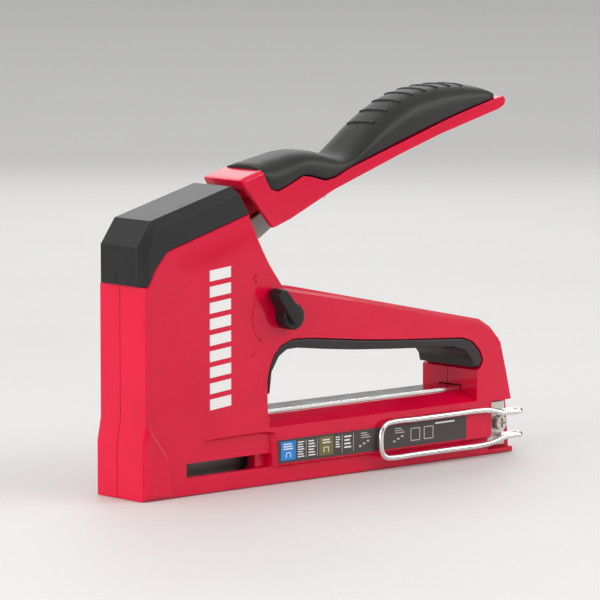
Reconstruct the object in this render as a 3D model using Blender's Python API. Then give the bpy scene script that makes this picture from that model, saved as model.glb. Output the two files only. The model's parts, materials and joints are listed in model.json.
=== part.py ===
"""Hand-operated staple gun: die-cast casing, squeeze handle, spring hammer and staple magazine.

Sizes are in millimetres and become metres in metres(). +X runs from the nose to the rear, -Y is the
side with the power knob, and +Z is up from the sole, which lies in the plane z = 0.
"""
import math

import bmesh
import bpy
import numpy as np
from mathutils import Matrix, Vector

# Overall sizes
CASE_LENGTH = 201.0        # sole, from the upper front face to the rear
TOWER_HEIGHT = 110.0       # sole to the rear end of the bumper's lower edge
CASE_HALF = 14.2           # half width at the nose and the rim
PANEL_HALF = 16.5          # half width over the raised side panels
HANDLE_REACH = 145.0       # pivot to handle tip, along X
HANDLE_HALF = 12.4
HANDLE_ROUND = 4.0
SEAM = 1.5                 # the casing parts beside the middle plane
GAP = 0.3                  # clearance between neighbouring pieces

# Walls and the nose
WALL = 2.6
FOOT_PROUD = 1.8           # the foot and the bumper stand this far ahead of the front face
FOOT_HEIGHT = 21.5
FOOT_FLARE = 1.0
PANEL_RAMP = 6.5          # width of the soft slope at the panel's front and top
PANEL_BEVEL = 1.4
BUMPER_WALL = 2.7
BUMPER_CHAMFER = 3.6
FRONT_WALL = 3.2
PLATE_THICK = 1.2          # nose plate and driver blade

# Magazine
CHANNEL_HALF = 6.5
CHANNEL_TOP = 29.1
CHANNEL_WALL = 1.0
LEDGE_TOP = 27.5
RAIL_HALF = 4.4
RAIL_TOP = 13.4
RAIL_WALL = 1.0
ROD_HEIGHT = 19.6
ROD_RADIUS = 1.4
PUSHER_LENGTH = 14.0
MAGAZINE_FRONT = 6.8

# Hammer, spring and lever
HAMMER_LEVEL = 50.0
HAMMER_HALF = 6.5
HAMMER_REAR = 32.5
SPRING_X = 11.8
SPRING_MEAN = 3.9
SPRING_WIRE = 1.8
SPRING_TURNS = 11
LEVER_HALF = 2.0
PIVOT_RADIUS = 2.5
RETURN_WIRE = 0.4          # radius of the return spring's wire
RETURN_LENGTH = 5.4
LEVER_EYE = 6.0
FINGER_RADIUS = 2.0
HAMMER_PIN_RADIUS = 1.8
HAMMER_PIN_LIFT = 1.2      # free play between the lever's finger and the hammer pin

# Power adjuster
KNOB_X = 70.6
KNOB_Z = 68.2
KNOB_RADIUS = 5.4
KNOB_DISC = 5.8
KNOB_BLADE = 2.7
KNOB_ARM = 14.0
KNOB_ANGLE = 128.0         # degrees from +X towards +Z, as seen from the knob's side
KNOB_HEIGHT = 7.8
SHAFT_RADIUS = 2.4
CAM_RADIUS = 6.2
CAM_THROW = 4.0
PEG_RADIUS = 1.4

# Fasteners and the belt clip
SCREW_RADIUS = 1.8
SCREW_HEAD = 3.3
SCREW_HEAD_THICK = 2.0
BOSS_RADIUS = 3.5
WIRE_RADIUS = 1.15
WIRE_OFFSET = 2.7          # clear space between the clip wire and the side
CLIP_LENGTH = 80.0
CLIP_WIDTH = 14.6
CLIP_BOTTOM = 5.2
CLIP_SEAT = 11.0           # floor of the clip's recess, from the middle plane
CLIP_PLATE = 1.0
WINDOW = (20.7, 65.0, 7.3, 13.0)
LABEL = (66.5, 171.0, 8.6, 18.0)
LABEL_THICK = 0.25

RISE = TOWER_HEIGHT - 110.0
STRETCH = CASE_LENGTH - 201.0
REACH = HANDLE_REACH - 145.0
PIVOT = Vector((53.0, 0.0, 100.5 + RISE))
RETURN_START = LEVER_HALF + 1.4
FINGER_TIP = (28.0, 75.8 + RISE)
HAMMER_PIN = (28.5, 81.4 + RISE + HAMMER_PIN_LIFT)
SPRING_TOP = 97.6 + RISE
HAMMER_BASE = HAMMER_LEVEL + RISE
REAR = CASE_LENGTH
LEVER_ROOM = LEVER_HALF + 1.2
CLIP_SCREW = (REAR - 7.0, 12.6)
CLIP_SHANK = 1.35
LEDGE_FRONT, LEDGE_REAR = 62.5, 177.5 + STRETCH

# Side outlines, as (x, z) points
FRONT_TOP = 84.5 + RISE
BUMPER_LINE = [(1.4, FRONT_TOP), (5.0, 91.0 + RISE), (11.4, 98.0 + RISE), (53.8, TOWER_HEIGHT)]
TOWER_REAR = [(58.2, 100.4 + RISE), (64.0, 90.0 + RISE), (69.6, 80.6 + RISE / 2), (71.4, 79.9)]
BAR_TOP = [(74.5, 79.7), (113.0, 71.8), (162.0 + STRETCH, 61.6), (181.3 + STRETCH, 57.5)]
CASE_REAR = [(187.2, 54.1), (192.7, 48.4), (196.1, 35.5), (199.1, 23.3), (REAR - STRETCH, 4.5)]
OPENING_ARCH = [(61.3, 36.8), (61.2, 42.7), (62.3, 47.5), (64.6, 52.5), (68.7, 56.4), (75.1, 58.4),
                (85.9, 57.9), (113.2, 54.9), (135.5, 53.1), (152.4 + STRETCH, 52.0),
                (169.5 + STRETCH, 51.0), (175.3 + STRETCH, 48.8), (179.4 + STRETCH, 44.7),
                (181.2 + STRETCH, 40.7), (179.6 + STRETCH, 37.6)]
INSERT_INNER = [(63.3, 36.8), (64.4, 45.7), (68.1, 51.4), (72.4, 53.9), (77.8, 54.1), (91.3, 52.5),
                (107.7, 50.8), (129.9, 49.2), (152.4 + STRETCH, 47.9), (163.8 + STRETCH, 47.2),
                (170.7 + STRETCH, 45.0), (174.2 + STRETCH, 40.9), (174.9 + STRETCH, 37.6)]
HANDLE_LOWER = [(68.2, 103.1), (77.3, 106.1), (100.6, 116.3), (137.5, 128.8), (160.0, 135.8),
                (193.6, 144.6), (196.6, 146.2), (197.3, 148.2), (195.8, 149.8)]
GRIP_LOWER = [(62.6, 126.4), (64.6, 122.0), (66.9, 118.6), (70.4, 117.4), (74.7, 118.7), (84.3, 122.9),
              (89.2, 122.2), (96.2, 120.2), (101.7, 121.1), (109.9, 124.6), (137.5, 133.3),
              (165.7, 142.1), (192.4, 149.2)]
GRIP_CROWN = [(194.4, 150.6), (191.6, 152.4), (184.0, 154.7), (172.0, 156.0), (160.0, 155.4),
              (150.0, 153.4), (140.0, 149.8), (130.0, 144.5), (121.0, 137.8), (114.0, 131.0),
              (107.0, 127.6), (101.0, 130.2), (95.0, 131.9), (88.0, 132.4), (77.3, 130.8),
              (66.6, 128.6)]
LEVER_TAIL = [(70.3, 98.4), (77.3, 102.8), (84.3, 105.6), (90.8, 107.0), (97.3, 109.4), (107.0, 115.2),
              (108.0, 117.4), (97.0, 117.0), (80.0, 113.0), (66.0, 106.0)]
SCREWS = {"shell_screw_front": (46.0, 45.0), "shell_screw_top": (36.4, 100.6 + RISE),
          "shell_screw_bar": (88.0, 67.5), "shell_screw_rear": (186.6 + STRETCH, 43.6)}

COLOURS = {
    "red": ((0.55, 0.008, 0.04, 1.0), 0.32, 0.0),
    "black": ((0.03, 0.03, 0.032, 1.0), 0.6, 0.0),
    "rubber": ((0.035, 0.034, 0.033, 1.0), 0.75, 0.0),
    "steel": ((0.42, 0.4, 0.38, 1.0), 0.35, 1.0),
    "chrome": ((0.8, 0.8, 0.8, 1.0), 0.1, 1.0),
    "dark_steel": ((0.2, 0.19, 0.18, 1.0), 0.4, 1.0),
    "label": ((0.08, 0.07, 0.07, 1.0), 0.4, 0.0),
}

parts = None
cutters = None


def metres(*values):
    return tuple(v * 0.001 for v in values)


def clear_scene():
    for item in list(bpy.data.objects):
        bpy.data.objects.remove(item, do_unlink=True)


def new_collection(name):
    group = bpy.data.collections.new(name)
    bpy.context.scene.collection.children.link(group)
    return group


def add_object(name, mesh):
    item = bpy.data.objects.new(name, mesh)
    cutters.objects.link(item)
    return item


def object_from_bmesh(name, bm):
    bmesh.ops.recalc_face_normals(bm, faces=bm.faces)
    mesh = bpy.data.meshes.new(name)
    bm.to_mesh(mesh)
    bm.free()
    return add_object(name, mesh)


def evaluated_mesh(item):
    bpy.context.view_layer.update()
    depsgraph = bpy.context.evaluated_depsgraph_get()
    return bpy.data.meshes.new_from_object(item.evaluated_get(depsgraph))


def box(name, low, high):
    """A box between two corners."""
    bm = bmesh.new()
    size = Vector(metres(*[h - l for l, h in zip(low, high)]))
    centre = Vector(metres(*[(h + l) / 2 for l, h in zip(low, high)]))
    place = Matrix.Translation(centre) @ Matrix.Diagonal(size.to_4d())
    bmesh.ops.create_cube(bm, size=1.0, matrix=place)
    return object_from_bmesh(name, bm)


def rod(name, start, end, radius, segments=24):
    """A cylinder between two points."""
    bm = bmesh.new()
    a, b = Vector(metres(*start)), Vector(metres(*end))
    turn = (b - a).to_track_quat("Z", "Y").to_matrix().to_4x4()
    place = Matrix.Translation((a + b) / 2) @ turn
    bmesh.ops.create_cone(bm, cap_ends=True, segments=segments, radius1=radius * 0.001,
                          radius2=radius * 0.001, depth=(b - a).length, matrix=place)
    return object_from_bmesh(name, bm)


def curve_to_mesh(curve_object, name):
    """The curve's solid as a mesh object with welded caps."""
    mesh = evaluated_mesh(curve_object)
    bm = bmesh.new()
    bm.from_mesh(mesh)
    bm.transform(curve_object.matrix_world)
    bmesh.ops.remove_doubles(bm, verts=bm.verts, dist=0.000005)
    bpy.data.objects.remove(curve_object, do_unlink=True)
    bpy.data.meshes.remove(mesh)
    return object_from_bmesh(name, bm)


def plate(name, outline, y_low, y_high, edge=0.0, segments=2, sides=(-1, 1)):
    """A flat (x, z) outline given a thickness along Y, with its edges rounded on the named sides."""
    curve = bpy.data.curves.new(name + "_outline", "CURVE")
    curve.dimensions = "2D"
    curve.fill_mode = "BOTH"
    curve.extrude = (y_high - y_low) / 2 * 0.001
    spline = curve.splines.new("POLY")
    spline.points.add(len(outline) - 1)
    for point, (x, z) in zip(spline.points, outline):
        point.co = (*metres(x, z), 0.0, 1.0)
    spline.use_cyclic_u = True
    item = bpy.data.objects.new(name + "_outline", curve)
    cutters.objects.link(item)
    item.rotation_euler = (math.pi / 2, 0.0, 0.0)
    item.location = (0.0, (y_low + y_high) / 2 * 0.001, 0.0)
    bpy.context.view_layer.update()
    solid = curve_to_mesh(item, name)
    if edge > 0.0:
        for side in sides:
            round_rim(solid, (y_high if side > 0 else y_low) * 0.001, edge * 0.001, segments)
    return solid


def round_rim(item, y, width, segments):
    """Bevels the edges around the flat face at one y."""
    bm = bmesh.new()
    bm.from_mesh(item.data)
    flat = [f for f in bm.faces if all(abs(v.co.y - y) < 1e-6 for v in f.verts)]
    bmesh.ops.dissolve_faces(bm, faces=flat)
    rim = [e for e in bm.edges if all(abs(v.co.y - y) < 1e-6 for v in e.verts)]
    bmesh.ops.bevel(bm, geom=rim, offset=width, segments=segments, profile=0.5, affect="EDGES",
                    clamp_overlap=True, material=-1)
    bm.to_mesh(item.data)
    bm.free()


def offset(outline, distance):
    """The closed outline moved inwards by a distance, corner by corner."""
    points = [np.array(p, float) for p in outline]
    area = sum(a[0] * b[1] - b[0] * a[1] for a, b in zip(points, points[1:] + points[:1]))
    turn = 1.0 if area > 0 else -1.0
    moved = []
    for i, corner in enumerate(points):
        before = corner - points[i - 1]
        after = points[(i + 1) % len(points)] - corner
        n1 = turn * np.array((-before[1], before[0])) / np.linalg.norm(before)
        n2 = turn * np.array((-after[1], after[0])) / np.linalg.norm(after)
        mitre = (n1 + n2) / (1.0 + float(n1 @ n2))
        moved.append(tuple(corner + mitre * distance))
    return moved


def arc(centre, radius, start, end, steps):
    """Points of an arc in the (x, z) plane; angles in degrees from +X towards +Z."""
    angles = [math.radians(start + (end - start) * i / steps) for i in range(steps + 1)]
    return [(centre[0] + radius * math.cos(a), centre[1] + radius * math.sin(a)) for a in angles]


def combine(item, tool, operation, solver):
    modifier = item.modifiers.new("boolean", "BOOLEAN")
    modifier.operation = operation
    modifier.solver = solver
    modifier.object = tool
    mesh = evaluated_mesh(item)
    item.modifiers.clear()
    old = item.data
    item.data = mesh
    bpy.data.meshes.remove(old)
    bpy.data.objects.remove(tool, do_unlink=True)


def solver_for(item):
    """The casing halves have many faces that lie in the seam's plane, which only MANIFOLD closes."""
    return "MANIFOLD" if item.name.endswith("_shell") and item.name != "handle_shell" else "EXACT"


def cut(item, tool):
    combine(item, tool, "DIFFERENCE", solver_for(item))


def join(item, tool):
    combine(item, tool, "UNION", solver_for(item))


def tidy_mesh(item):
    """Welds Boolean slivers and removes flat interior edges."""
    bm = bmesh.new()
    bm.from_mesh(item.data)
    bmesh.ops.remove_doubles(bm, verts=bm.verts, dist=0.00001)
    bmesh.ops.dissolve_degenerate(bm, edges=bm.edges, dist=0.00001)
    bmesh.ops.triangulate(bm, faces=[f for f in bm.faces if len(f.verts) > 4])
    bm.to_mesh(item.data)
    bm.free()


def finish(item, name, colour, axis_point=None):
    """Names the piece, gives it its material, and puts its origin on its joint's axis."""
    item.name = name
    tidy_mesh(item)
    rgba, roughness, metallic = COLOURS[colour]
    material = bpy.data.materials.new(name)
    material.use_nodes = True
    shader = material.node_tree.nodes["Principled BSDF"]
    shader.inputs["Base Color"].default_value = rgba
    shader.inputs["Roughness"].default_value = roughness
    shader.inputs["Metallic"].default_value = metallic
    item.data.materials.clear()
    item.data.materials.append(material)
    if axis_point is not None:
        origin = Vector(metres(*axis_point))
        item.data.transform(Matrix.Translation(-origin))
        item.location = origin
    item.data.shade_smooth()
    item.data.set_sharp_from_angle(angle=math.radians(35.0))
    for group in list(item.users_collection):
        group.objects.unlink(item)
    parts.objects.link(item)
    return item


def tube(name, points, radius, resolution=2):
    """A round wire along a list of points, with closed ends."""
    curve = bpy.data.curves.new(name, "CURVE")
    curve.dimensions = "3D"
    curve.bevel_depth = radius * 0.001
    curve.bevel_resolution = resolution
    curve.use_fill_caps = True
    spline = curve.splines.new("POLY")
    spline.points.add(len(points) - 1)
    for point, place in zip(spline.points, points):
        point.co = (*metres(*place), 1.0)
    item = bpy.data.objects.new(name, curve)
    cutters.objects.link(item)
    return curve_to_mesh(item, name)


def helix(start, axis, radius, turns, length, per_turn, first=0.0):
    """Points of a coil around a line that starts at a point and runs along X, Y or Z."""
    points = []
    for i in range(turns * per_turn + 1):
        angle = first + 2.0 * math.pi * i / per_turn
        along = length * i / (turns * per_turn)
        side, rise = radius * math.cos(angle), radius * math.sin(angle)
        shift = {"X": (along, side, rise), "Y": (side, along, rise), "Z": (side, rise, along)}[axis]
        points.append(tuple(s + d for s, d in zip(start, shift)))
    return points


def up(outline, rise):
    return [(x, z + rise) for x, z in outline]


def stretch_handle(outline):
    """Moves the rear half of a handle outline when the handle's reach changes."""
    first, last = 100.0, 196.0
    return [(x + REACH * max(0.0, min(1.0, (x - first) / (last - first))), z + RISE) for x, z in outline]


def case_outline():
    rear = [(x + STRETCH, z) for x, z in CASE_REAR]
    foot = [(-FOOT_PROUD, 0.0), (-FOOT_PROUD, FOOT_HEIGHT), (0.0, FOOT_HEIGHT + 9.5)]
    under_bumper = [(x, z - GAP) for x, z in BUMPER_LINE]
    return foot + [(0.0, FRONT_TOP - GAP)] + under_bumper + TOWER_REAR + BAR_TOP + rear + [(REAR, 0.0)]


def panel_outline():
    """The foot of the raised side panel over the tower, the bar and the rear column."""
    front = [(27.4, 20.6), (22.4, 37.0), (14.8, 60.0), (9.4, 77.0), (10.2, 86.0), (16.4, 91.4)]
    top = [(57.0, 102.2), (64.0, 89.2), (71.4, 79.4)]
    bar = [(113.0, 71.3), (162.0 + STRETCH, 61.1), (180.8 + STRETCH, 57.0), (186.8 + STRETCH, 53.6)]
    rear = [(192.2 + STRETCH, 48.0), (195.6 + STRETCH, 35.5), (198.6 + STRETCH, 23.3),
            (200.5 + STRETCH, 6.5)]
    sill = [(66.0, 6.5), (64.5, 20.0), (60.0, 21.0)]
    lift = [(x, z + (RISE if z > 60.0 else 0.0)) for x, z in front] + up(top[:2], RISE) + top[2:]
    return lift + bar + rear + sill


def panel_face(outline):
    """The panel's flat face: set back by the ramp at the front and top, by a bevel elsewhere."""
    face = offset(outline, PANEL_BEVEL)
    for i in range(4):
        face[i] = (outline[i][0] + PANEL_RAMP, face[i][1])
    x, z = outline[4]
    face[4] = (x + PANEL_RAMP, z - PANEL_RAMP * 0.3)
    x, z = outline[5]
    face[5] = (x + PANEL_RAMP * 0.7, z - PANEL_RAMP * 0.7)
    x, z = outline[6]
    face[6] = (x + PANEL_RAMP * 0.2, z - PANEL_RAMP)
    return face


def make_panel(side):
    """One side's raised panel, from inside the case wall out to its flat face."""
    outline = panel_outline()
    levels = [(outline, side * (CASE_HALF - WALL + GAP)), (outline, side * (CASE_HALF - GAP)),
              (panel_face(outline), side * PANEL_HALF)]
    bm = bmesh.new()
    loops = [[bm.verts.new(metres(x, y, z)) for x, z in points] for points, y in levels]
    for low, high in zip(loops, loops[1:]):
        for i in range(len(low)):
            bm.faces.new((low[i - 1], low[i], high[i], high[i - 1]))
    bm.faces.new(loops[0])
    bm.faces.new(loops[-1])
    bmesh.ops.triangulate(bm, faces=bm.faces)
    bmesh.ops.recalc_face_normals(bm, faces=bm.faces)
    return object_from_bmesh("panel", bm)


def foot_outline():
    """The foot flares out a little at the front of the sole."""
    return [(-FOOT_PROUD, 0.0), (-FOOT_PROUD, FOOT_HEIGHT), (0.0, FOOT_HEIGHT + 9.0),
            (2.4, FOOT_HEIGHT + 8.0), (11.5, 17.0), (13.5, 12.0), (14.5, 0.0)]


def opening_outline():
    low = [(177.6 + STRETCH, 36.4), (177.6 + STRETCH, LEDGE_TOP), (61.6, LEDGE_TOP)]
    return OPENING_ARCH + low


def tower_cavity():
    rear = [(50.0, 104.0), (54.6, 99.6), (60.8, 88.6), (66.2, 79.0)]
    return ([(FRONT_WALL, -5.0), (FRONT_WALL, 84.0 + RISE), (7.6, 92.0 + RISE), (12.6, 96.4 + RISE)]
            + up(rear, RISE) + [(66.2, 60.6), (61.0, 57.4), (57.8, 50.0), (57.6, 22.0), (57.6, -5.0)])


def bar_cavity():
    low = [(72.0, 61.8), (86.0, 61.2), (113.0, 58.2), (170.0 + STRETCH, 54.3), (178.0 + STRETCH, 51.6),
           (183.0 + STRETCH, 46.0), (184.8 + STRETCH, 40.0), (184.4 + STRETCH, 27.0)]
    high = [(195.2, 27.0), (192.6, 37.0), (189.6, 46.8), (184.8, 51.4), (179.4, 54.6)]
    front = [(113.0, 68.6), (72.0, 76.8), (64.0, 76.8), (64.0, 60.6)]
    return low + [(x + STRETCH, z) for x, z in high] + front


def bumper_outline():
    top_rear = (46.6, 121.0 + RISE)
    return [(-FOOT_PROUD, FRONT_TOP), (-FOOT_PROUD, 99.8 + RISE), (5.4, 109.9 + RISE), top_rear,
            BUMPER_LINE[3], BUMPER_LINE[2], BUMPER_LINE[1], BUMPER_LINE[0]]


def neck_outline():
    """The casing's inset neck, which the bumper slides over."""
    inner = BUMPER_WALL + GAP
    high = offset(bumper_outline(), inner)
    return [high[1], high[2], high[3], high[4], (45.0, 96.0 + RISE), (8.0, 84.0 + RISE),
            (high[1][0], 78.0 + RISE)]


def neck_cavity():
    high = offset(bumper_outline(), BUMPER_WALL + GAP + 2.4)
    return [high[1], high[2], high[3], high[4], (44.0, 92.0 + RISE), (high[1][0], 76.0 + RISE)]


def make_case_half(name, side):
    """One die-cast half; side is -1 for the knob's side and 1 for the far side."""
    def span(inner, outer):
        return (-outer, inner) if side < 0 else (inner, outer)
    inner = SEAM - GAP / 2 if side < 0 else SEAM + GAP / 2
    shell = plate(name, case_outline(), *span(inner, CASE_HALF), edge=2.6, segments=3, sides=(side,))
    join(shell, make_panel(side))
    join(shell, plate("foot", foot_outline(), *span(inner, CASE_HALF + FOOT_FLARE), edge=2.4,
                      segments=1, sides=(side,)))
    join(shell, plate("neck", neck_outline(), *span(inner, CASE_HALF - BUMPER_WALL - GAP)))
    reach = CASE_HALF - WALL
    cut(shell, plate("tower_hollow", tower_cavity(), -reach, reach))
    cut(shell, plate("neck_hollow", neck_cavity(), -reach + 2.6, reach - 2.6))
    cut(shell, plate("bar_hollow", bar_cavity(), -reach, reach))
    for place in SCREWS.values():
        start, end = (side * (reach + 1.0), inner)
        join(shell, rod("boss", (place[0], start, place[1]), (place[0], end, place[1]), BOSS_RADIUS))
    channel = CHANNEL_HALF + GAP
    cut(shell, box("magazine_hollow", (FRONT_WALL, -channel, -5.0),
                   (REAR + 5.0, channel, CHANNEL_TOP + GAP)))
    cut_opening(shell, side)
    cut_details(shell, side)
    return shell


def cut_opening(shell, side):
    """The finger opening, with the magazine's top ledge sloped below it."""
    cut(shell, plate("opening", opening_outline(), -30.0, 30.0))
    start = CHANNEL_HALF + GAP / 2
    slope = [(start, LEDGE_TOP), (start + 1.6, LEDGE_TOP), (PANEL_HALF - 1.2, LEDGE_TOP - 3.4),
             (PANEL_HALF + 4.0, LEDGE_TOP - 6.0), (PANEL_HALF + 4.0, 40.0), (start, 40.0)]
    profile = plate("ledge", [(side * y, z) for y, z in slope], 0.0, LEDGE_REAR - LEDGE_FRONT)
    turn = Matrix.Rotation(math.pi / 2, 4, "Z")
    rear = Matrix.Translation((*metres(LEDGE_REAR), 0.0, 0.0))
    profile.data.transform(rear @ turn)
    cut(shell, profile)


def cut_details(shell, side):
    low, high, floor, ceiling = WINDOW
    cut(shell, box("window", (low, -30.0, floor), (high - 6.0, 30.0, ceiling)))
    cut(shell, box("window_step", (low, side * 11.4, floor), (high, side * 30.0, ceiling)))
    cut(shell, box("lever_slot", (44.0, -LEVER_ROOM, 82.0 + RISE), (76.0, LEVER_ROOM, 130.0 + RISE)))
    pin_end = side * (CASE_HALF - 1.2)
    cut(shell, rod("pivot_hole", (PIVOT.x, 0.0, PIVOT.z), (PIVOT.x, pin_end, PIVOT.z), PIVOT_RADIUS + GAP))
    for place in SCREWS.values():
        end = 30.0 if side > 0 else -(CASE_HALF - WALL)
        cut(shell, rod("hole", (place[0], SEAM * 2, place[1]) if side < 0 else (place[0], 0.0, place[1]),
                       (place[0], end, place[1]), SCREW_RADIUS + GAP))
        if side > 0:
            seat = screw_seat(place)
            cut(shell, rod("seat", (place[0], seat, place[1]), (place[0], 30.0, place[1]), SCREW_HEAD + GAP))
    if side > 0:
        pocket = PIVOT_RADIUS + 2 * RETURN_WIRE + 2 * GAP
        cut(shell, rod("spring_pocket", (PIVOT.x, 0.0, PIVOT.z),
                       (PIVOT.x, RETURN_START + RETURN_LENGTH + 1.0, PIVOT.z), pocket))
    if side < 0:
        cut(shell, rod("shaft_hole", (KNOB_X, 0.0, KNOB_Z), (KNOB_X, -30.0, KNOB_Z), SHAFT_RADIUS + GAP))
        cut(shell, box("clip_recess", (REAR - 15.0, -30.0, 2.0), (REAR + 5.0, -CLIP_SEAT, 22.8)))
        x, z = CLIP_SCREW
        cut(shell, rod("clip_hole", (x, -7.4, z), (x, -20.0, z), CLIP_SHANK + GAP))


def screw_seat(place):
    """How far from the middle plane a casing screw's head sits."""
    on_panel = place[1] < 96.0 + RISE
    return (PANEL_HALF if on_panel else CASE_HALF) - SCREW_HEAD_THICK - 0.3


def make_bumper():
    bumper = plate("top_bumper", bumper_outline(), -CASE_HALF, CASE_HALF)
    bm = bmesh.new()
    bm.from_mesh(bumper.data)
    bmesh.ops.dissolve_limit(bm, angle_limit=0.01, verts=bm.verts, edges=bm.edges)
    corners = [metres(*corner) for corner in bumper_outline()[:4]]
    top = [e for e in bm.edges if e.verts[0].co.y * e.verts[1].co.y > 0
           and all(any(abs(v.co.x - x) + abs(v.co.z - z) < 1e-6 for x, z in corners) for v in e.verts)]
    bmesh.ops.bevel(bm, geom=top, offset=BUMPER_CHAMFER * 0.001, segments=1, profile=0.5,
                    affect="EDGES", clamp_overlap=True, material=-1)
    bm.to_mesh(bumper.data)
    bm.free()
    half = CASE_HALF - BUMPER_WALL
    hollow = offset(bumper_outline(), BUMPER_WALL)
    below = [(56.0, 96.0 + RISE), (20.0, 84.0 + RISE), (hollow[1][0], 70.0 + RISE)]
    cut(bumper, plate("hood", [hollow[1], hollow[2], hollow[3], hollow[4]] + below, -half, half))
    cut(bumper, box("lever_gap", (44.0, -LEVER_ROOM, 82.0 + RISE), (60.0, LEVER_ROOM, 113.0 + RISE)))
    front = bumper_outline()[0][0]
    cut(bumper, box("moulding_line", (front - 1.0, SEAM - GAP / 2, 70.0 + RISE),
                    (front + GAP, SEAM + GAP / 2, FRONT_TOP + 5.0)))
    return finish(bumper, "top_bumper", "black")


def make_insert():
    ring = OPENING_ARCH + INSERT_INNER[::-1]
    insert = plate("grip_insert", offset(ring, GAP), -PANEL_HALF + 0.2, PANEL_HALF - 0.2, edge=1.0)
    return finish(insert, "grip_insert", "black")


def make_magazine():
    rear = REAR - 1.6
    channel = box("magazine_channel", (MAGAZINE_FRONT, -CHANNEL_HALF, 0.4), (rear, CHANNEL_HALF, CHANNEL_TOP))
    inner = CHANNEL_HALF - CHANNEL_WALL
    cut(channel, box("bore", (0.0, -inner, -5.0), (REAR + 5.0, inner, CHANNEL_TOP - CHANNEL_WALL)))
    low, high, floor, ceiling = WINDOW
    cut(channel, box("view", (low - 2.0, -30.0, floor - 2.0), (high - 4.0, 30.0, ceiling + 2.0)))
    finish(channel, "magazine_channel", "chrome")
    nose = box("nose_plate", (FRONT_WALL + GAP, -CHANNEL_HALF, 0.3),
               (FRONT_WALL + GAP + PLATE_THICK, CHANNEL_HALF, 45.0))
    finish(nose, "nose_plate", "steel")
    rail = box("staple_rail", (MAGAZINE_FRONT + 0.2, -RAIL_HALF, 0.6), (rear, RAIL_HALF, RAIL_TOP))
    cut(rail, box("groove", (0.0, -RAIL_HALF + RAIL_WALL, -5.0),
                  (REAR + 5.0, RAIL_HALF - RAIL_WALL, RAIL_TOP - RAIL_WALL)))
    finish(rail, "staple_rail", "steel")
    cap_outline = [(rear + GAP, 0.5), (REAR - 0.1, 0.5), (REAR - 0.1, 4.5), (REAR - 0.4, 26.0),
                   (rear + GAP, 26.0)]
    cap = plate("rail_end_cap", cap_outline, -CHANNEL_HALF, CHANNEL_HALF)
    finish(cap, "rail_end_cap", "black")
    guide = rod("guide_rod", (MAGAZINE_FRONT + 0.6, 0.0, ROD_HEIGHT), (rear, 0.0, ROD_HEIGHT), ROD_RADIUS, 12)
    finish(guide, "guide_rod", "steel")


def make_pusher():
    front = MAGAZINE_FRONT + 1.0
    back = front + PUSHER_LENGTH
    outer, inner = CHANNEL_HALF - CHANNEL_WALL - GAP, RAIL_HALF + GAP
    pusher = box("pusher", (front, -outer, 5.0), (back, outer, ROD_HEIGHT + 4.0))
    cut(pusher, box("saddle", (0.0, -inner, 0.0), (60.0, inner, RAIL_TOP + GAP)))
    cut(pusher, rod("rod_hole", (0.0, 0.0, ROD_HEIGHT), (60.0, 0.0, ROD_HEIGHT), ROD_RADIUS + GAP, 12))
    finish(pusher, "pusher", "steel")
    length = REAR - 1.6 - back - 1.6
    coil = tube("pusher_spring", helix((back + 0.8, 0.0, ROD_HEIGHT), "X", 2.6, 18, length, 7), 0.4, 1)
    finish(coil, "pusher_spring", "steel")


def make_hammer():
    outline = [(6.5, HAMMER_BASE), (HAMMER_REAR, HAMMER_BASE), (HAMMER_REAR, HAMMER_PIN[1] + 3.6),
               (24.0, HAMMER_PIN[1] + 3.6), (24.0, HAMMER_BASE + 6.0), (6.5, HAMMER_BASE + 6.0)]
    hammer = plate("hammer", outline, -HAMMER_HALF, HAMMER_HALF)
    cut(hammer, box("finger_slot", (17.0, -LEVER_HALF - 0.7, HAMMER_BASE + 8.0),
                    (40.0, LEVER_HALF + 0.7, 120.0 + RISE)))
    x, z = HAMMER_PIN
    cut(hammer, rod("pin_hole", (x, -10.0, z), (x, 10.0, z), HAMMER_PIN_RADIUS + GAP))
    rivet_z = HAMMER_BASE + 3.0
    cut(hammer, rod("rivet_hole", (0.0, 0.0, rivet_z), (16.0, 0.0, rivet_z), 1.5 + GAP, 16))
    finish(hammer, "hammer", "dark_steel")
    finish(rod("hammer_pin", (x, -HAMMER_HALF, z), (x, HAMMER_HALF, z), HAMMER_PIN_RADIUS),
           "hammer_pin", "steel")
    front = FRONT_WALL + 2 * GAP + PLATE_THICK
    blade = box("driver_blade", (front, -5.2, 0.5), (front + PLATE_THICK, 5.2, HAMMER_BASE + 6.0))
    cut(blade, rod("rivet_hole", (0.0, 0.0, rivet_z), (16.0, 0.0, rivet_z), 1.5 + GAP, 16))
    finish(blade, "driver_blade", "steel")
    finish(rod("blade_rivet", (front, 0.0, rivet_z), (15.0, 0.0, rivet_z), 1.5, 16), "blade_rivet", "steel")


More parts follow.
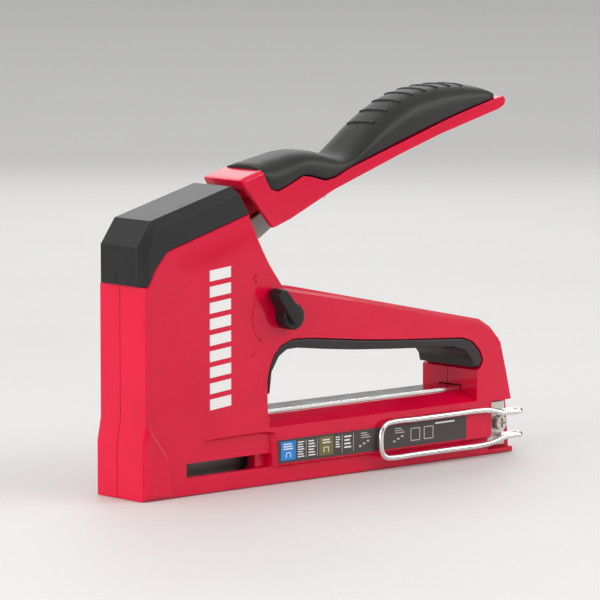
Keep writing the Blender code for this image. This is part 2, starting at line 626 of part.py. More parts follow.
def make_springs():
    bottom = HAMMER_BASE + 6.0 + GAP + SPRING_WIRE / 2
    top = SPRING_TOP - SPRING_WIRE / 2
    points = helix((SPRING_X, 0.0, bottom), "Z", SPRING_MEAN, SPRING_TURNS, top - bottom, 9)
    finish(tube("main_spring", points, SPRING_WIRE / 2, 1), "main_spring", "steel")
    seat_top = offset(bumper_outline(), BUMPER_WALL + 2 * GAP + 2.4 + 0.3)
    rise = (seat_top[3][1] - seat_top[2][1]) / (seat_top[3][0] - seat_top[2][0])
    back = SPRING_X + 6.0
    outline = [(5.0, SPRING_TOP + GAP), (back, SPRING_TOP + GAP),
               (back, seat_top[2][1] + rise * (back - seat_top[2][0])), seat_top[2],
               (5.0, SPRING_TOP + GAP + 1.4)]
    finish(plate("spring_seat", outline, -7.5, 7.5), "spring_seat", "steel")
    mean = PIVOT_RADIUS + GAP + RETURN_WIRE
    coil = helix((PIVOT.x, RETURN_START, PIVOT.z), "Y", mean, 4, RETURN_LENGTH, 10, math.pi)
    last, first = coil[-1], coil[0]
    coil.append((last[0] - 1.0, last[1], last[2] - 6.0))
    coil.insert(0, (first[0] - 2.0, first[1], first[2] - 7.0))
    finish(tube("return_spring", coil, RETURN_WIRE, 1), "return_spring", "steel")


def make_handle():
    lower = stretch_handle(HANDLE_LOWER)
    grip_line = stretch_handle(GRIP_LOWER)
    front = [(53.0, 120.4 + RISE), (51.4, 122.8 + RISE), (53.6, 123.9 + RISE)]
    outline = front[::-1][:1] + front[1:2] + front[:1] + lower + grip_line[::-1]
    shell = plate("handle_shell", outline, -HANDLE_HALF, HANDLE_HALF)
    round_handle(shell)
    inner_top = [(x - 0.2, z - 2.4) for x, z in grip_line]
    hollow = [(50.0, 117.0 + RISE), (62.0, 90.0 + RISE), (lower[0][0] + 6.0, lower[0][1] - 20.0)]
    hollow += [(x, z - 8.0) for x, z in lower[3:6]]
    hollow += [(inner_top[-1][0] - 2.0, lower[5][1] - 1.0)]
    hollow += inner_top[::-1][1:6] + [(74.0, 115.4 + RISE), (68.0, 114.4 + RISE), (62.0, 118.4 + RISE),
                                      (60.0, 122.6 + RISE), (56.0, 121.2 + RISE)]
    inside = HANDLE_HALF - 2.2
    cut(shell, plate("handle_hollow", hollow, -inside, inside))
    rivets = [(82.0, 111.0 + RISE), (96.0, 115.0 + RISE)]
    for x, z in rivets:
        cut(shell, rod("rivet_hole", (x, -HANDLE_HALF + 0.9, z), (x, HANDLE_HALF - 0.9, z), 1.8 + GAP, 16))
    finish(shell, "handle_shell", "red", PIVOT)
    grip = plate("handle_grip", [(x, z + GAP) for x, z in grip_line] + stretch_handle(GRIP_CROWN),
                 -HANDLE_HALF - 0.2, HANDLE_HALF + 0.2, edge=4.6, segments=4)
    finish(grip, "handle_grip", "rubber", PIVOT)
    make_lever(rivets)


def round_handle(shell):
    """Rounds the handle's edges: well rounded over the front of the top, crisp elsewhere."""
    bm = bmesh.new()
    bm.from_mesh(shell.data)
    bmesh.ops.dissolve_limit(bm, angle_limit=0.01, verts=bm.verts, edges=bm.edges)
    front = (63.0 * 0.001, (120.0 + RISE) * 0.001)
    top = [e for e in bm.edges if e.verts[0].co.y * e.verts[1].co.y > 0
           and all(v.co.x < front[0] and v.co.z > front[1] for v in e.verts)]
    bmesh.ops.bevel(bm, geom=top, offset=HANDLE_ROUND * 0.001, segments=4, profile=0.5, affect="EDGES",
                    clamp_overlap=True, material=-1)
    bm.to_mesh(shell.data)
    bm.free()


def make_lever(rivets):
    px, pz = PIVOT.x, PIVOT.z
    tip_x, tip_z = FINGER_TIP
    slope = 41.8
    across = (math.cos(math.radians(slope + 90)), math.sin(math.radians(slope + 90)))
    reach, edge = 21.0, FINGER_RADIUS - 1.0
    top = (tip_x + reach * math.cos(math.radians(slope)) + edge * across[0],
           tip_z + reach * math.sin(math.radians(slope)) + edge * across[1])
    outline = arc((tip_x, tip_z), FINGER_RADIUS, slope + 90.0, slope + 270.0, 8)
    outline += [(44.0, 87.4 + RISE), (52.0, 92.6 + RISE), (62.0, 95.2 + RISE)]
    outline += up(LEVER_TAIL, RISE) + arc((px, pz), LEVER_EYE, 70.0, 160.0, 7) + [top]
    lever = plate("handle_lever", outline, -LEVER_HALF, LEVER_HALF)
    cut(lever, rod("eye", (px, -10.0, pz), (px, 10.0, pz), PIVOT_RADIUS + 0.05))
    for x, z in rivets:
        cut(lever, rod("rivet_hole", (x, -10.0, z), (x, 10.0, z), 1.8 + GAP, 16))
    finish(lever, "handle_lever", "dark_steel", PIVOT)
    for name, (x, z) in zip(("handle_rivet_front", "handle_rivet_rear"), rivets):
        end = HANDLE_HALF - 1.2
        finish(rod(name, (x, -end, z), (x, end, z), 1.8, 16), name, "steel", PIVOT)
    end = CASE_HALF - 1.5
    finish(rod("pivot_pin", (px, -end, pz), (px, end, pz), PIVOT_RADIUS), "pivot_pin", "steel")


def make_adjuster():
    centre = (KNOB_X, KNOB_Z)
    angle = math.radians(KNOB_ANGLE)
    reach = KNOB_ARM - KNOB_BLADE
    tip = (KNOB_X + reach * math.cos(angle), KNOB_Z + reach * math.sin(angle))
    outline = arc(centre, KNOB_BLADE + 0.5, KNOB_ANGLE + 90.0, KNOB_ANGLE + 270.0, 8)
    outline += arc(tip, KNOB_BLADE, KNOB_ANGLE - 80.0, KNOB_ANGLE + 80.0, 6)
    base = -PANEL_HALF - GAP
    knob = plate("power_knob", arc(centre, KNOB_RADIUS, 0.0, 345.0, 23), base - KNOB_DISC, base,
                 edge=0.8, sides=(-1,))
    join(knob, plate("blade", outline, base - KNOB_HEIGHT + 0.1, base - 1.0, edge=0.8, sides=(-1,)))
    cut(knob, rod("socket", (KNOB_X, base + 5.0, KNOB_Z), (KNOB_X, base - 4.0, KNOB_Z), SHAFT_RADIUS + GAP))
    finish(knob, "power_knob", "black", (KNOB_X, 0.0, KNOB_Z))
    inside = -(CASE_HALF - WALL) + 0.4
    shaft = rod("power_shaft", (KNOB_X, base - 3.6, KNOB_Z), (KNOB_X, inside - 0.1, KNOB_Z), SHAFT_RADIUS)
    finish(shaft, "power_shaft", "steel", (KNOB_X, 0.0, KNOB_Z))
    cam = rod("power_cam", (KNOB_X, inside + 0.2, KNOB_Z), (KNOB_X, inside + 2.6, KNOB_Z), CAM_RADIUS)
    shift = CAM_THROW * math.sqrt(0.5)
    peg_x, peg_z = KNOB_X + shift, KNOB_Z + shift
    join(cam, rod("peg", (peg_x, inside + 2.0, peg_z), (peg_x, inside + 6.0, peg_z), PEG_RADIUS, 16))
    finish(cam, "power_cam", "steel", (KNOB_X, 0.0, KNOB_Z))
    slider = box("trip_slider", (44.0, inside + 3.0, KNOB_Z - 4.0), (peg_x + 4.4, inside + 5.6, KNOB_Z + 6.8))
    slot = PEG_RADIUS + GAP
    cut(slider, box("slot", (peg_x - slot, -30.0, KNOB_Z - 1.0), (peg_x + slot, 30.0, KNOB_Z + 5.4)))
    finish(slider, "trip_slider", "steel")


def clip_points():
    """The belt clip's wire: two hooked ends, two arms and a rounded front loop."""
    y = -PANEL_HALF - WIRE_OFFSET - WIRE_RADIUS + 1.6
    end_y = -CLIP_SEAT - GAP - CLIP_PLATE - GAP - WIRE_RADIUS
    span = end_y - y
    low, high = CLIP_BOTTOM, CLIP_BOTTOM + CLIP_WIDTH
    rear = REAR - 0.25
    front = REAR - CLIP_LENGTH
    arm = [(rear - 5.0, -2.4), (rear - 11.0, -2.2), (rear - 17.0, -0.6), (rear - 24.0, 0.0)]
    turn = arc((rear - 1.2, y + span / 2), span / 2, 90.0, -90.0, 6)
    upper = [(rear - 6.0, end_y, high - 2.3)] + [(x, across, high - 2.3) for x, across in turn]
    upper += [(x, y, high + dz) for x, dz in arm]
    corner = 5.0
    loop = [(x, y, z) for x, z in arc((front + corner, high - corner), corner, 90.0, 180.0, 5)]
    loop += [(x, y, z) for x, z in arc((front + corner, low + corner), corner, 180.0, 270.0, 5)]
    lower = [(x, y, low + high - z) for x, y, z in upper][::-1]
    return upper + loop + lower


def make_clip():
    finish(tube("clip_wire", clip_points(), WIRE_RADIUS), "clip_wire", "chrome")
    x, z = CLIP_SCREW
    plate_low, plate_high = x - 6.6, x + 3.6
    back = -CLIP_SEAT - GAP
    clip = box("clip_plate", (plate_low, back - CLIP_PLATE, z - 9.4), (plate_high, back, z + 9.0))
    cut(clip, rod("hole", (x, 0.0, z), (x, -30.0, z), CLIP_SHANK + 0.05 + GAP))
    finish(clip, "clip_plate", "steel")
    head = back - CLIP_PLATE - GAP
    long, thin, deep = 2.0, 0.4, 0.9
    screw = rod("clip_screw", (x, head, z), (x, head - 2.0, z), 3.0)
    join(screw, rod("shank", (x, head - 0.4, z), (x, -8.0, z), CLIP_SHANK, 16))
    cut(screw, box("cross_a", (x - long, -30.0, z - thin), (x + long, head - deep, z + thin)))
    cut(screw, box("cross_b", (x - thin, -30.0, z - long), (x + thin, head - deep, z + long)))
    finish(screw, "clip_screw", "steel")


def make_screws():
    for name, (x, z) in SCREWS.items():
        seat = screw_seat((x, z)) + GAP
        screw = rod(name, (x, seat, z), (x, seat + SCREW_HEAD_THICK - GAP, z), SCREW_HEAD)
        end = -(CASE_HALF - WALL) + 1.0
        join(screw, rod("shank", (x, seat + 0.5, z), (x, end, z), SCREW_RADIUS, 16))
        cut(screw, box("cross_a", (x - 2.0, seat + 0.8, z - 0.4), (x + 2.0, 30.0, z + 0.4)))
        cut(screw, box("cross_b", (x - 0.4, seat + 0.8, z - 2.0), (x + 0.4, 30.0, z + 2.0)))
        finish(screw, name, "steel")


def make_label():
    low, high, floor, ceiling = LABEL
    face = -PANEL_HALF - GAP / 2
    label = box("side_label", (low, face - LABEL_THICK, floor), (high + STRETCH, face, ceiling))
    finish(label, "side_label", "label")


def main():
    global parts, cutters
    clear_scene()
    parts = new_collection("staple_gun")
    cutters = new_collection("cutters")
    finish(make_case_half("left_shell", -1), "left_shell", "red")
    finish(make_case_half("right_shell", 1), "right_shell", "red")
    make_bumper()
    make_insert()
    make_magazine()
    make_pusher()
    make_hammer()
    make_springs()
    make_handle()
    make_adjuster()
    make_clip()
    make_screws()
    make_label()


main()
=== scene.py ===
import json
import math

import bmesh
import bpy
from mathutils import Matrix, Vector


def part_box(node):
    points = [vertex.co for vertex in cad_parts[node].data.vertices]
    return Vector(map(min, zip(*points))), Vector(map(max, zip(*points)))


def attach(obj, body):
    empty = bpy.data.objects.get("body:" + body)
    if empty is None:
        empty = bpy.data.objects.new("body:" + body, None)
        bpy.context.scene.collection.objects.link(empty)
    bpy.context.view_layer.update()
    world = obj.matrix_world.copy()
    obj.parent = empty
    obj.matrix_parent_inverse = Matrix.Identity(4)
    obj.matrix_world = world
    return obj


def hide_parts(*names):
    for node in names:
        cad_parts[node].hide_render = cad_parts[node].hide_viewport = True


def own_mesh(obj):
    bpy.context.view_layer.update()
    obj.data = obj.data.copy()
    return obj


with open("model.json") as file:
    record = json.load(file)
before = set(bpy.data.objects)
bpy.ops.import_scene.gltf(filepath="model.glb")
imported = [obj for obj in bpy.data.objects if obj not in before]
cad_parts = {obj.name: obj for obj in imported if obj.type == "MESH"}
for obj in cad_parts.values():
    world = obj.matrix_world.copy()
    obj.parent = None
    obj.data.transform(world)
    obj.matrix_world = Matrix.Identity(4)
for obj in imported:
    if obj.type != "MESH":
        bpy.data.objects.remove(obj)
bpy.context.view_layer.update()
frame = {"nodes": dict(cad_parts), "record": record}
nodes = frame["nodes"]
mm = 0.001

weld = 0.000004     # points closer than this are one
view = {"azimuth": -41.8, "elevation": 6.7, "distance": 1.825, "lens": 270.0,
        "target": (0.0934, 0.0, 0.0711)}


# A socket that does arithmetic by adding Math nodes
class Wire:
    def __init__(self, tree, socket):
        self.tree, self.socket = tree, socket

    def math(self, operation, *others):
        return Graph(self.tree).add("ShaderNodeMath", {"operation": operation}, [self, *others])

    def __add__(self, other):
        return self.math("ADD", other)

    def __radd__(self, other):
        return self.math("ADD", other)

    def __sub__(self, other):
        return self.math("SUBTRACT", other)

    def __rsub__(self, other):
        return Graph(self.tree).add("ShaderNodeMath", {"operation": "SUBTRACT"}, [other, self])

    def __mul__(self, other):
        return self.math("MULTIPLY", other)

    def __rmul__(self, other):
        return self.math("MULTIPLY", other)


# Adds any other node: its type, its settings, then the values or links of its sockets
class Graph:
    def __init__(self, tree):
        self.tree = tree

    def add(self, kind, settings=None, inputs=(), output=0):
        node = self.tree.nodes.new(kind)
        for name, value in (settings or {}).items():
            if name == "stops":
                self.setStops(node, value)
            else:
                setattr(node, name, value)
        pairs = inputs.items() if isinstance(inputs, dict) else enumerate(inputs)
        for key, value in pairs:
            if isinstance(value, Wire):
                self.tree.links.new(value.socket, node.inputs[key])
            else:
                node.inputs[key].default_value = value
        return Wire(self.tree, node.outputs[output])

    def setStops(self, node, stops):
        ramp = node.color_ramp
        while len(ramp.elements) < len(stops):
            ramp.elements.new(0.5)
        for element, (place, colour) in zip(ramp.elements, stops):
            element.position = place
            element.color = colour

    def place(self):
        return self.add("ShaderNodeTexCoord", output="Object")

    def noise(self, scale, detail=3.0, roughness=0.5, where=None):
        return self.add("ShaderNodeTexNoise", {}, {"Vector": where or self.place(), "Scale": scale,
                                                   "Detail": detail, "Roughness": roughness})

    def mix(self, factor, a, b):
        return self.add("ShaderNodeMix", {"data_type": "RGBA"}, {0: factor, 6: a, 7: b}, output=2)

    def bump(self, height, strength, distance):
        return self.add("ShaderNodeBump", {}, {"Height": height, "Strength": strength,
                                               "Distance": distance})


def newMaterial(name, **constants):
    material = bpy.data.materials.new(name)
    material.use_nodes = True
    shader = material.node_tree.nodes["Principled BSDF"]
    for key, value in constants.items():
        shader.inputs[key.replace("_", " ")].default_value = value
    return material, Graph(material.node_tree), shader


def feed(material, shader, **wires):
    for key, wire in wires.items():
        material.node_tree.links.new(wire.socket, shader.inputs[key.replace("_", " ")])


# Screen values from 0 to 255 as linear light
def colour(r, g, b):
    def linear(v):
        v /= 255.0
        return v / 12.92 if v <= 0.04045 else ((v + 0.055) / 1.055) ** 2.4
    return (linear(r), linear(g), linear(b), 1.0)


enamelValues = {"deep": colour(198, 0, 46), "light": colour(218, 6, 58), "peel": 420.0,
                "peelDepth": 0.0001}


# Thick glossy red enamel on a casting: orange peel, faint mottling and a clear top coat
def makeEnamel(values=enamelValues):
    material, g, shader = newMaterial("redEnamel", Coat_Weight=0.5, Coat_Roughness=0.07, IOR=1.45,
                                      Specular_IOR_Level=0.1)
    broad = g.noise(38.0, 2.0)
    peel = g.noise(values["peel"], 2.0, 0.45)
    grit = g.noise(values["peel"] * 4.0, 1.0)
    tint = g.mix(broad, values["deep"], values["light"])
    sheen = 0.24 + broad * 0.08 + grit * 0.05
    feed(material, shader, Base_Color=tint, Roughness=sheen,
         Normal=g.bump(peel + grit * 0.12, 0.5, values["peelDepth"]))
    return material


# Fine-grained moulded plastic or rubber, a little paler where it is rubbed
def makeMoulded(name, dark, pale, rough, grainScale=1500.0, depth=0.00006):
    material, g, shader = newMaterial(name, Specular_IOR_Level=0.32)
    grain = g.noise(grainScale, 4.0, 0.7)
    worn = g.noise(90.0, 3.0)
    tint = g.mix(worn * 0.7 + grain * 0.3, dark, pale)
    feed(material, shader, Base_Color=tint, Roughness=rough + grain * 0.12 - worn * 0.06,
         Normal=g.bump(grain, 0.6, depth))
    return material


# Plated or bare steel with rolling marks along X and slight staining
def makeMetal(name, tone, rough, brushed=0.0, tarnish=0.15):
    material, g, shader = newMaterial(name, Metallic=1.0)
    stretched = g.add("ShaderNodeMapping", {}, {"Vector": g.place(), "Scale": (0.06, 1.0, 1.0)})
    lines = g.noise(2600.0, 3.0, 0.6, stretched)
    stain = g.noise(160.0, 4.0, 0.6)
    dull = tuple(v * (1.0 - tarnish * 1.6) for v in tone[:3]) + (1.0,)
    tint = g.mix(stain * 0.8 + lines * 0.2, dull, tone)
    feed(material, shader, Base_Color=tint, Roughness=rough + stain * 0.08 + lines * brushed,
         Normal=g.bump(lines, 0.35, 0.00001 + brushed * 0.00008))
    return material


# Bright plating: a mirror with slow waves and a few dull spots
def makeChrome():
    material, g, shader = newMaterial("brightPlate", Metallic=1.0)
    cloud = g.noise(120.0, 3.0)
    tint = g.mix(cloud, (0.68, 0.67, 0.66, 1.0), (0.8, 0.79, 0.78, 1.0))
    feed(material, shader, Base_Color=tint, Roughness=0.11 + cloud * 0.08,
         Normal=g.bump(g.noise(45.0, 1.0), 0.2, 0.0001))
    return material


# Printed ink: nearly flat, with a faint break-up like screen printing
def makeInk(name, tone, rough=0.45):
    material, g, shader = newMaterial(name)
    speck = g.noise(900.0, 2.0)
    darker = tuple(v * 0.86 for v in tone[:3]) + (1.0,)
    feed(material, shader, Base_Color=g.mix(speck, darker, tone), Roughness=rough + speck * 0.08)
    return material


finishes = {
    "cast_red": makeEnamel(),
    "bumper_black": makeMoulded("bumperGrain", colour(22, 21, 22), colour(36, 35, 35), 0.36),
    "grip_rubber": makeMoulded("gripRubber", colour(20, 19, 18), colour(36, 35, 33), 0.42, 1100.0, 0.0001),
    "insert_black": makeMoulded("insertPlastic", colour(34, 28, 31), colour(48, 41, 44), 0.38, 1300.0),
    "knob_black": makeMoulded("knobPlastic", colour(18, 16, 17), colour(30, 27, 28), 0.34, 1300.0),
    "bright_steel": makeChrome(),
    "plated_steel": makeMetal("zincPlate", (0.62, 0.59, 0.55, 1.0), 0.27, 0.12, 0.12),
    "dark_steel": makeMetal("darkSteel", (0.27, 0.24, 0.22, 1.0), 0.38, 0.14, 0.2),
    "label_film": makeMoulded("labelFilm", colour(64, 56, 57), colour(74, 66, 66), 0.3, 700.0, 0.00001),
}
whiteInk = makeInk("whiteInk", colour(238, 236, 234), 0.4)
blueInk = makeInk("blueInk", colour(0, 132, 214))
oliveInk = makeInk("oliveInk", colour(112, 102, 44))
greyInk = makeInk("greyInk", colour(200, 196, 194))
# Parts inside the casing get a steel darker than their own: painted shade, so the deep magazine window and
# slot read dark
paintedShadeSteel = makeMetal("steelDarkenedForShade", (0.2, 0.19, 0.18, 1.0), 0.4, 0.1, 0.2)
springSteel = makeMetal("springSteel", (0.42, 0.4, 0.38, 1.0), 0.3, 0.1, 0.15)
insideNodes = ("staple_rail", "pusher", "guide_rod", "hammer", "driver_blade", "blade_rivet")
slotOf = {part["node"]: part["material_slot"] for part in frame["record"]["subparts"]}
bodyOf = {name: body for body, names in frame["record"]["behaviour"]["bodies"].items() for name in names}
for nodeName, nodeObject in nodes.items():
    nodeObject.data.materials.clear()
    nodeObject.data.materials.append(paintedShadeSteel if nodeName in insideNodes else finishes[slotOf[nodeName]])
print("finishes made")


def meshObject(name, bm, material, body, smooth=40.0):
    mesh = bpy.data.meshes.new(name)
    bm.to_mesh(mesh)
    bm.free()
    for item in material if isinstance(material, list) else [material]:
        mesh.materials.append(item)
    mesh.shade_smooth()
    mesh.set_sharp_from_angle(angle=math.radians(smooth))
    piece = bpy.data.objects.new(name, mesh)
    bpy.context.scene.collection.objects.link(piece)
    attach(piece, body)
    return piece


def weighNormals(piece):
    modifier = piece.modifiers.new("evenShade", "WEIGHTED_NORMAL")
    modifier.keep_sharp = True
    modifier.weight = 80


# A node's shape with its triangles merged back into flats
def flatFaced(nodeName):
    bm = bmesh.new()
    bm.from_mesh(nodes[nodeName].data)
    bmesh.ops.remove_doubles(bm, verts=bm.verts, dist=weld)
    bmesh.ops.dissolve_limit(bm, angle_limit=math.radians(0.6), verts=bm.verts, edges=bm.edges)
    return bm


# The solid of a curve, added to a mesh
def addCurve(bm, curve):
    holder = bpy.data.objects.new(curve.name, curve)
    bpy.context.scene.collection.objects.link(holder)
    bpy.context.view_layer.update()
    solid = holder.evaluated_get(bpy.context.evaluated_depsgraph_get())
    bm.from_mesh(bpy.data.meshes.new_from_object(solid))
    bpy.data.objects.remove(holder)


# The flat shape with every real edge rounded, standing for its node
def softCopy(nodeName, width, segments=2, sharpest=28.0):
    bm = flatFaced(nodeName)
    hard = [e for e in bm.edges if len(e.link_faces) == 2 and e.calc_face_angle() > math.radians(sharpest)]
    bmesh.ops.bevel(bm, geom=hard, offset=width, segments=segments, profile=0.5, affect="EDGES",
                    clamp_overlap=True, material=-1)
    material = nodes[nodeName].data.materials[0]
    piece = meshObject(nodeName + "_soft", bm, material, bodyOf[nodeName])
    weighNormals(piece)
    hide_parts(nodeName)
    return piece


# A flat (x, z) outline raised towards -Y from a face at y
def slabInto(bm, outline, y, thick, materialIndex=0):
    corners = [bm.verts.new((x, y, z)) for x, z in outline]
    face = bm.faces.new(corners)
    made = bmesh.ops.extrude_face_region(bm, geom=[face])
    fresh = [v for v in made["geom"] if isinstance(v, bmesh.types.BMVert)]
    bmesh.ops.translate(bm, verts=fresh, vec=(0.0, -thick, 0.0))
    touched = {f for v in fresh for f in v.link_faces} | {face}
    for item in touched:
        item.material_index = materialIndex
    bmesh.ops.recalc_face_normals(bm, faces=list(touched))


# A straight printed or raised stroke between two (x, z) points
def barInto(bm, start, end, width, y, thick, materialIndex=0):
    a, b = Vector(start), Vector(end)
    across = (b - a).normalized().orthogonal() * width / 2
    slabInto(bm, [a + across, a - across, b - across, b + across], y, thick, materialIndex)


def arcPoints(centre, radius, first, last, steps):
    turns = [math.radians(first + (last - first) * i / steps) for i in range(steps + 1)]
    return [(centre[0] + radius * math.cos(t), centre[1] + radius * math.sin(t)) for t in turns]


softEdges = {
    "left_shell": 0.00045, "right_shell": 0.00045, "top_bumper": 0.0006, "grip_insert": 0.0004,
    "magazine_channel": 0.00025, "handle_shell": 0.0007, "handle_lever": 0.0004, "power_knob": 0.0004,
    "clip_plate": 0.00025, "clip_screw": 0.0002, "rail_end_cap": 0.0003, "nose_plate": 0.0001,
    "shell_screw_front": 0.0003, "shell_screw_top": 0.0003, "shell_screw_bar": 0.0003,
    "shell_screw_rear": 0.0003, "pusher": 0.0003, "staple_rail": 0.0002, "hammer": 0.0005,
}
for nodeName, width in softEdges.items():
    softCopy(nodeName, width)
print("hard pieces softened")

# Each spring with the joint it follows, the axis it would shorten along and its travel in metres; these
# values are not used below, where each coil is only copied onto its own mesh
springs = {
    "main_spring": {"joint": "hammer_lift", "axis": (0.0, 0.0, 1.0), "travel": 0.0162},
    "pusher_spring": {"joint": "pusher_slide", "axis": (1.0, 0.0, 0.0), "travel": 0.085},
}
for nodeName, values in springs.items():
    bm = flatFaced(nodeName)
    coil = meshObject(nodeName + "_coil", bm, springSteel, bodyOf[nodeName], 75.0)
    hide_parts(nodeName)
    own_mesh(coil)
print("springs made")


gripShape = {
    "rings": 96, "around": 40, "body": "handle",
    # x, lower edge, crown and half width of the grip, in millimetres
    "stations": [(62.6, 126.4, 127.5, 9.6), (64.2, 121.8, 128.5, 11.3), (67.6, 118.0, 129.2, 12.2),
                 (71.0, 117.9, 129.9, 12.5), (76.0, 119.5, 130.8, 12.6), (84.0, 123.0, 132.2, 12.6),
                 (90.0, 122.5, 132.5, 12.6), (96.0, 120.9, 131.8, 12.5), (101.5, 121.6, 130.2, 12.3),
                 (107.0, 123.9, 128.6, 12.1), (112.0, 125.7, 129.9, 12.0), (118.0, 127.6, 134.6, 12.1),
                 (126.0, 130.0, 141.3, 12.3), (136.0, 133.2, 147.7, 12.5), (147.0, 136.7, 152.5, 12.6),
                 (160.0, 140.7, 154.9, 12.6), (172.0, 144.3, 155.4, 12.6), (183.0, 147.2, 154.5, 12.4),
                 (190.5, 149.1, 152.6, 11.6), (193.0, 149.8, 151.2, 9.6), (194.6, 150.1, 150.6, 6.0)],
}


# Catmull-Rom reading of the stations at x
def smoothAt(stations, x):
    last = len(stations) - 1
    i = max(0, min(last - 1, sum(1 for s in stations if s[0] <= x) - 1))
    p = [stations[max(0, min(last, i + k))] for k in (-1, 0, 1, 2)]
    t = (x - p[1][0]) / (p[2][0] - p[1][0])
    values = []
    for k in (1, 2, 3):
        slopeA = (p[2][k] - p[0][k]) / max(p[2][0] - p[0][0], 1e-6) * (p[2][0] - p[1][0])
        slopeB = (p[3][k] - p[1][k]) / max(p[3][0] - p[1][0], 1e-6) * (p[2][0] - p[1][0])
        h = (2 * t ** 3 - 3 * t ** 2 + 1, t ** 3 - 2 * t ** 2 + t,
             -2 * t ** 3 + 3 * t ** 2, t ** 3 - t ** 2)
        values.append(h[0] * p[1][k] + h[1] * slopeA + h[2] * p[2][k] + h[3] * slopeB)
    return values


# One point of the grip's section: flat below, rolled sides, a low crown above
def gripSection(low, crown, half, turn):
    c, s = math.cos(turn), math.sin(turn)
    middle = low + (crown - low) * 0.30
    if s >= 0.0:
        y = half * math.copysign(abs(c) ** 0.62, c)
        z = middle + (crown - middle) * abs(s) ** 0.85
    else:
        y = half * math.copysign(abs(c) ** 0.3, c)
        z = middle - (middle - low) * abs(s) ** 0.3
    return y, z


def makeGrip(values=gripShape):
    stations = values["stations"]
    first, last = stations[0][0], stations[-1][0]
    bm = bmesh.new()
    ring = bmesh.ops.create_circle(bm, cap_ends=True, segments=values["around"], radius=0.01)["verts"]
    face = ring[0].link_faces[0]
    order = list(face.verts)

    def shape(verts, x):
        low, crown, half = smoothAt(stations, x)
        for i, vert in enumerate(verts):
            y, z = gripSection(low - 0.35, crown, half, 2.0 * math.pi * i / len(verts))
            vert.co = (x * mm, y * mm, z * mm)

    shape(order, first)
    for step in range(1, values["rings"] + 1):
        made = bmesh.ops.extrude_face_region(bm, geom=[face])
        fresh = [f for f in made["geom"] if isinstance(f, bmesh.types.BMFace)][0]
        if step > 1:
            bmesh.ops.delete(bm, geom=[face], context="FACES_ONLY")
        face = fresh
        ease = 0.5 - 0.5 * math.cos(math.pi * step / values["rings"])
        shape(list(face.verts), first + (last - first) * (0.35 * ease + 0.65 * step / values["rings"]))
    bmesh.ops.recalc_face_normals(bm, faces=bm.faces)
    piece = meshObject("handle_grip_rubber", bm, finishes["grip_rubber"], values["body"],
                       60.0)
    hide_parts("handle_grip")
    return piece


ribShape = {"first": 127.0, "pitch": 7.0, "count": 8, "width": 2.0, "reach": 0.42, "slant": 0.8,
            "proud": 0.5}


# Plain raised bars over the crown, slanted a little, for the palm to hold
def makeRibs(values=ribShape):
    bm = bmesh.new()
    for i in range(values["count"]):
        x = values["first"] + values["pitch"] * i
        points = []
        for k in range(9):
            t = k / 4.0 - 1.0
            at = x + values["slant"] * t
            low, crown, half = smoothAt(gripShape["stations"], at)
            turn = math.pi / 2 + t * values["reach"]
            y, z = gripSection(low, crown, half, turn)
            points.append((at * mm, y * mm, (z + values["proud"] - values["width"] / 2) * mm))
        curve = bpy.data.curves.new("rib", "CURVE")
        curve.dimensions = "3D"
        curve.bevel_depth = values["width"] / 2 * mm
        curve.bevel_resolution = 3
        curve.use_fill_caps = True
        spline = curve.splines.new("POLY")
        spline.points.add(len(points) - 1)
        for point, place in zip(spline.points, points):
            point.co = (*place, 1.0)
        addCurve(bm, curve)
    bmesh.ops.remove_doubles(bm, verts=bm.verts, dist=weld / 2)
    bmesh.ops.recalc_face_normals(bm, faces=bm.faces)
    return meshObject("grip_ribs", bm, finishes["grip_rubber"], "handle", 50.0)


makeGrip()
makeRibs()
print("grip made")


# How far each bend of an arm lies from the tip, and below the loop's top, in millimetres
wireShape = {"radius": 1.15, "corner": 5.2, "sag": 2.3,
             "arm": ((5.0, 2.4), (11.0, 2.1), (17.0, 0.7), (23.0, 0.05), (40.0, 0.0), (60.0, 0.0))}


# The clip's round wire, redrawn on a smooth line inside its node's own box
def makeWire(values=wireShape):
    low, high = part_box("clip_wire")
    radius, sag = values["radius"] * mm, values["sag"] * mm
    y = low.y + radius
    endY = high.y - radius
    top, bottom = high.z - radius, low.z + radius
    tip = high.x - radius
    front = low.x + radius
    turn = (endY - y) / 2
    points = [(tip - turn - 6.0 * mm, endY, top - sag), (tip - turn - 1.0 * mm, endY, top - sag)]
    points += [(tip - turn + turn * math.cos(a), (y + endY) / 2 + turn * math.sin(a), top - sag)
               for a in (1.1, 0.55, 0.0, -0.55, -1.1)]
    points += [(tip - back * mm, y, top - drop * mm) for back, drop in values["arm"]]
    corner = values["corner"] * mm
    loop = arcPoints((front + corner, top - corner), corner, 90.0, 180.0, 4)
    points += [(x, y, z) for x, z in loop]
    points += [(x, py, top + bottom - z) for x, py, z in points[::-1]]
    curve = bpy.data.curves.new("clipWire", "CURVE")
    curve.dimensions = "3D"
    curve.resolution_u = 8
    curve.bevel_depth = radius
    curve.bevel_resolution = 6
    curve.use_fill_caps = True
    spline = curve.splines.new("BEZIER")
    spline.bezier_points.add(len(points) - 1)
    for point, place in zip(spline.bezier_points, points):
        point.co = place
        point.handle_left_type = point.handle_right_type = "AUTO"
    bm = bmesh.new()
    addCurve(bm, curve)
    bmesh.ops.remove_doubles(bm, verts=bm.verts, dist=weld / 2)
    piece = meshObject("clip_wire_round", bm, finishes["bright_steel"], "casing", 50.0)
    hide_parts("clip_wire")


makeWire()
print("belt clip made")


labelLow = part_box("side_label")[0]
labelPrint = {"proud": 0.1}


